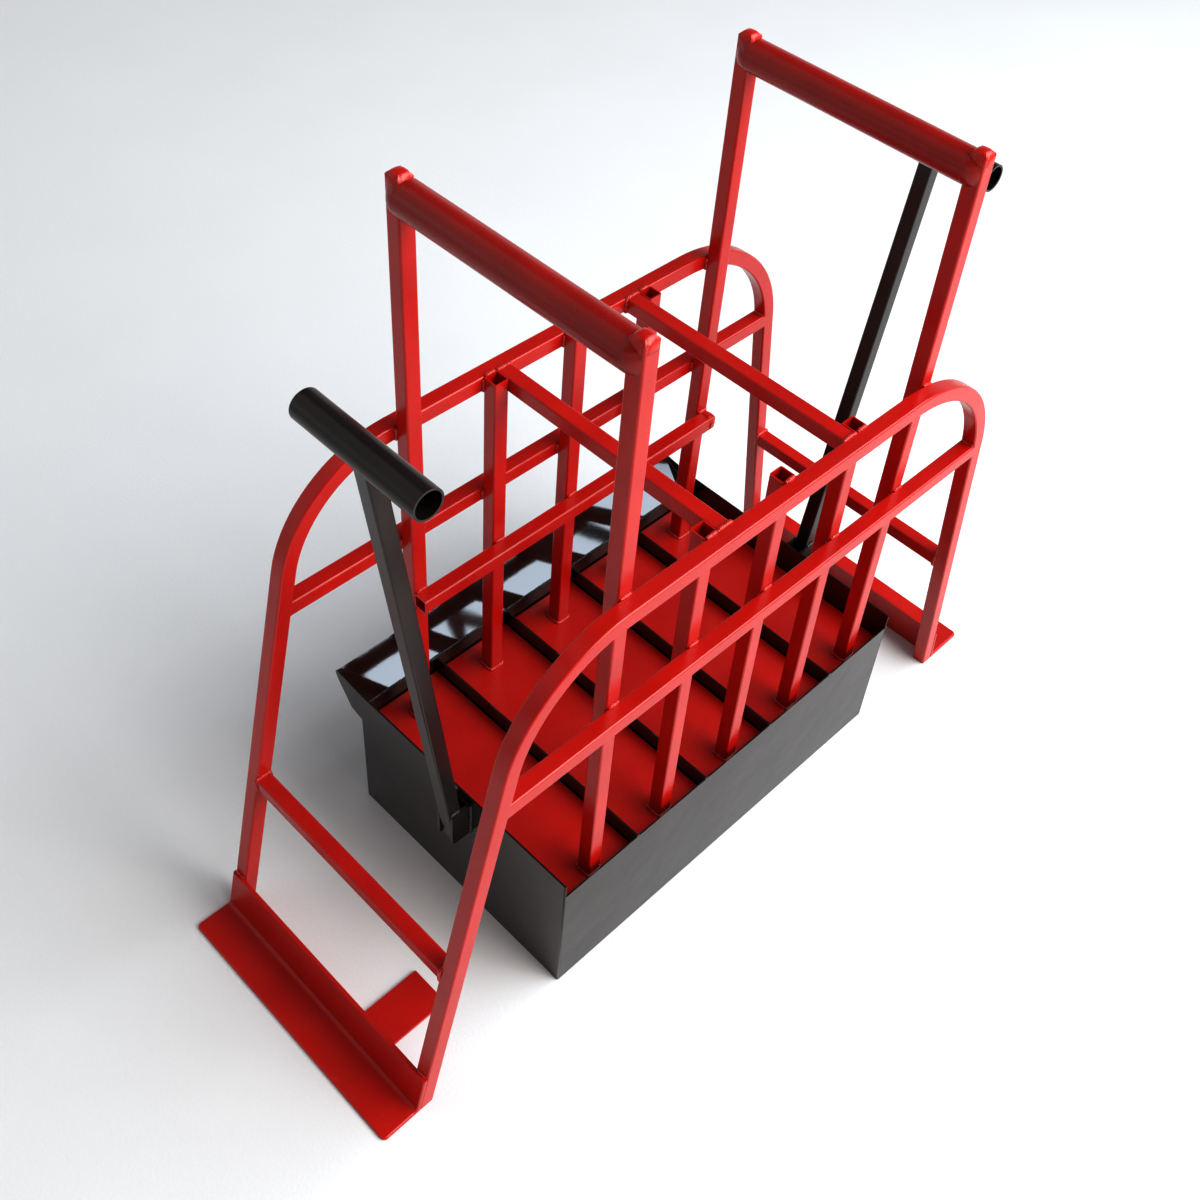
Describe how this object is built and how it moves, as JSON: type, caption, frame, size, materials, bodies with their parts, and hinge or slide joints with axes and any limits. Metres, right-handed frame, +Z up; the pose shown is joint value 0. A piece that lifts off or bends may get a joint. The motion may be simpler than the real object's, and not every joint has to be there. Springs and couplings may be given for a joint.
{
  "type": "manual concrete block mould press",
  "caption": "Hand-operated block mould: a welded square-tube press frame on angle feet, with an open multi-cavity mould box that lifts straight up round its press plates.",
  "frame": {"origin": "middle of the whole object's footprint, on the ground it stands on", "axes": "+Z up, +X along the row of cavities from the left foot to the right foot, +Y across the mould towards the filling tray"},
  "size_m": [1.412, 0.538, 1.2112],
  "materials": {
    "frame_red": "gloss",
    "mould_black": "gloss",
    "lever_black": "semi-gloss"
  },
  "bodies": {
    "press_frame": {"arch_far": "frame_red", "arch_near": "frame_red", "cross_bar_left": "frame_red", "cross_bar_right": "frame_red", "foot_left": "frame_red", "foot_right": "frame_red", "handle_bar_left": "frame_red", "handle_bar_right": "frame_red", "handle_leg_left_far": "frame_red", "handle_leg_left_near": "frame_red", "handle_leg_right_far": "frame_red", "handle_leg_right_near": "frame_red", "inner_rail_far": "frame_red", "leg_tie_left": "frame_red", "leg_tie_right": "frame_red", "post_far_2": "frame_red", "post_far_3": "frame_red", "post_far_4": "frame_red", "post_near_2": "frame_red", "post_near_3": "frame_red", "post_near_4": "frame_red", "press_plate_1": "frame_red", "press_plate_2": "frame_red", "press_plate_3": "frame_red", "press_plate_4": "frame_red", "press_plate_5": "frame_red", "rail_far": "frame_red", "rail_near": "frame_red", "spacer_tab": "frame_red"},
    "mould_box": {"divider_1": "mould_black", "divider_2": "mould_black", "divider_3": "mould_black", "divider_4": "mould_black", "filling_tray": "mould_black", "grip_left": "lever_black", "grip_right": "lever_black", "lever_bracket_left": "lever_black", "lever_bracket_right": "lever_black", "lever_left": "lever_black", "lever_right": "lever_black", "mould_end_wall_left": "mould_black", "mould_end_wall_right": "mould_black", "mould_far_wall": "mould_black", "mould_front_wall": "mould_black"}
  },
  "joints": [
    {"name": "mould_box_lift", "type": "slide", "parent": "press_frame", "child": "mould_box", "axis": [0, 0, 1], "range_m": [0, 0.245]}
  ]
}
